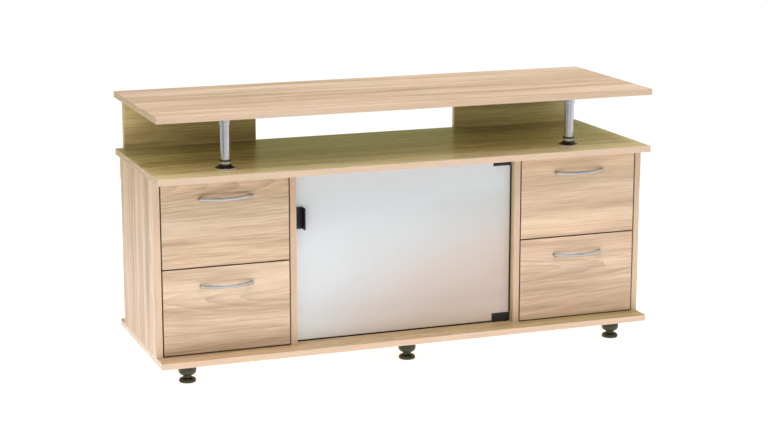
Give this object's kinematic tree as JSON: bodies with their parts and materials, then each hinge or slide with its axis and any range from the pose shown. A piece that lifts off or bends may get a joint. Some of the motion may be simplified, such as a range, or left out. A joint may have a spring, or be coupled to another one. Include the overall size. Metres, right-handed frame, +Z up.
{
  "type": "tv stand with drawers and glass door",
  "caption": "Low TV stand in oak-grain board: floating TV shelf on rear uprights and chrome posts, drawers with bow handles at both sides, frosted glass door between, levelling feet.",
  "frame": {"origin": "centre of the footprint, on the floor under the levelling feet", "axes": "+X to the right of somebody facing the front, +Y to the back, +Z up; doors and drawers face -Y"},
  "size_m": [1.3, 0.445, 0.664],
  "materials": {
    "oak_board": "laminate, pale pinkish oak grain",
    "drawer_board": "plain pale laminate",
    "hardboard": "thin hardboard",
    "chrome": "polished",
    "satin_metal": "satin",
    "steel_fittings": "zinc plated",
    "frosted_glass": "frosted",
    "black_metal": "satin black",
    "pale_plastic": "moulded",
    "foot_plastic": "olive black, moulded"
  },
  "bodies": {
    "cabinet": {"tv_shelf": "oak_board", "cabinet_top": "oak_board", "base_panel": "oak_board", "side_panel_left": "oak_board", "side_panel_right": "oak_board", "divider_left": "oak_board", "divider_right": "oak_board", "back_panel": "hardboard", "rear_upright_left": "oak_board", "rear_upright_right": "oak_board", "post_tube_left": "chrome", "post_tube_right": "chrome", "post_flange_left": "chrome", "post_flange_right": "chrome", "post_cup_left": "chrome", "post_cup_right": "chrome", "inner_shelf": "oak_board", "shelf_pins": "steel_fittings", "door_bushings": "pale_plastic", "magnetic_catch": "pale_plastic", "drawer_runners": "pale_plastic", "cam_locks": "steel_fittings", "confirmat_screws": "steel_fittings", "back_panel_nails": "steel_fittings", "foot_cups": "foot_plastic"},
    "door": {"glass_door": "frosted_glass", "hinge_clip_top": "black_metal", "hinge_clip_bottom": "black_metal", "hinge_clip_screws": "steel_fittings", "door_pull": "black_metal"},
    "drawer_left_lower": {"drawer_left_lower_front": "oak_board", "drawer_left_lower_side_left": "drawer_board", "drawer_left_lower_side_right": "drawer_board", "drawer_left_lower_back": "drawer_board", "drawer_left_lower_bottom": "hardboard", "drawer_left_lower_handle": "satin_metal"},
    "drawer_left_upper": {"drawer_left_upper_front": "oak_board", "drawer_left_upper_side_left": "drawer_board", "drawer_left_upper_side_right": "drawer_board", "drawer_left_upper_back": "drawer_board", "drawer_left_upper_bottom": "hardboard", "drawer_left_upper_handle": "satin_metal"},
    "drawer_right_lower": {"drawer_right_lower_front": "oak_board", "drawer_right_lower_side_left": "drawer_board", "drawer_right_lower_side_right": "drawer_board", "drawer_right_lower_back": "drawer_board", "drawer_right_lower_bottom": "hardboard", "drawer_right_lower_handle": "satin_metal"},
    "drawer_right_upper": {"drawer_right_upper_front": "oak_board", "drawer_right_upper_side_left": "drawer_board", "drawer_right_upper_side_right": "drawer_board", "drawer_right_upper_back": "drawer_board", "drawer_right_upper_bottom": "hardboard", "drawer_right_upper_handle": "satin_metal"},
    "foot_front_left": {"foot_front_left": "foot_plastic"},
    "foot_front_centre": {"foot_front_centre": "foot_plastic"},
    "foot_front_right": {"foot_front_right": "foot_plastic"},
    "foot_rear_left": {"foot_rear_left": "foot_plastic"},
    "foot_rear_centre": {"foot_rear_centre": "foot_plastic"},
    "foot_rear_right": {"foot_rear_right": "foot_plastic"}
  },
  "joints": [
    {"name": "door_hinge", "type": "hinge", "parent": "cabinet", "child": "door", "pos_m": [0.28, -0.145, 0.283], "axis": [0, 0, 1], "range_deg": [0, 90]},
    {"name": "drawer_left_lower_slide", "type": "slide", "parent": "cabinet", "child": "drawer_left_lower", "axis": [0, -1, 0], "range_m": [0, 0.24]},
    {"name": "drawer_left_upper_slide", "type": "slide", "parent": "cabinet", "child": "drawer_left_upper", "axis": [0, -1, 0], "range_m": [0, 0.24]},
    {"name": "drawer_right_lower_slide", "type": "slide", "parent": "cabinet", "child": "drawer_right_lower", "axis": [0, -1, 0], "range_m": [0, 0.24]},
    {"name": "drawer_right_upper_slide", "type": "slide", "parent": "cabinet", "child": "drawer_right_upper", "axis": [0, -1, 0], "range_m": [0, 0.24]},
    {"name": "foot_front_left_turn", "type": "hinge", "parent": "cabinet", "child": "foot_front_left", "pos_m": [-0.574, -0.1665, 0.031], "axis": [0, 0, 1], "range_deg": [0, 720]},
    {"name": "foot_front_centre_turn", "type": "hinge", "parent": "cabinet", "child": "foot_front_centre", "pos_m": [0, -0.1665, 0.031], "axis": [0, 0, 1], "range_deg": [0, 720]},
    {"name": "foot_front_right_turn", "type": "hinge", "parent": "cabinet", "child": "foot_front_right", "pos_m": [0.574, -0.1665, 0.031], "axis": [0, 0, 1], "range_deg": [0, 720]},
    {"name": "foot_rear_left_turn", "type": "hinge", "parent": "cabinet", "child": "foot_rear_left", "pos_m": [-0.574, 0.1665, 0.031], "axis": [0, 0, 1], "range_deg": [0, 720]},
    {"name": "foot_rear_centre_turn", "type": "hinge", "parent": "cabinet", "child": "foot_rear_centre", "pos_m": [0, 0.1665, 0.031], "axis": [0, 0, 1], "range_deg": [0, 720]},
    {"name": "foot_rear_right_turn", "type": "hinge", "parent": "cabinet", "child": "foot_rear_right", "pos_m": [0.574, 0.1665, 0.031], "axis": [0, 0, 1], "range_deg": [0, 720]}
  ]
}
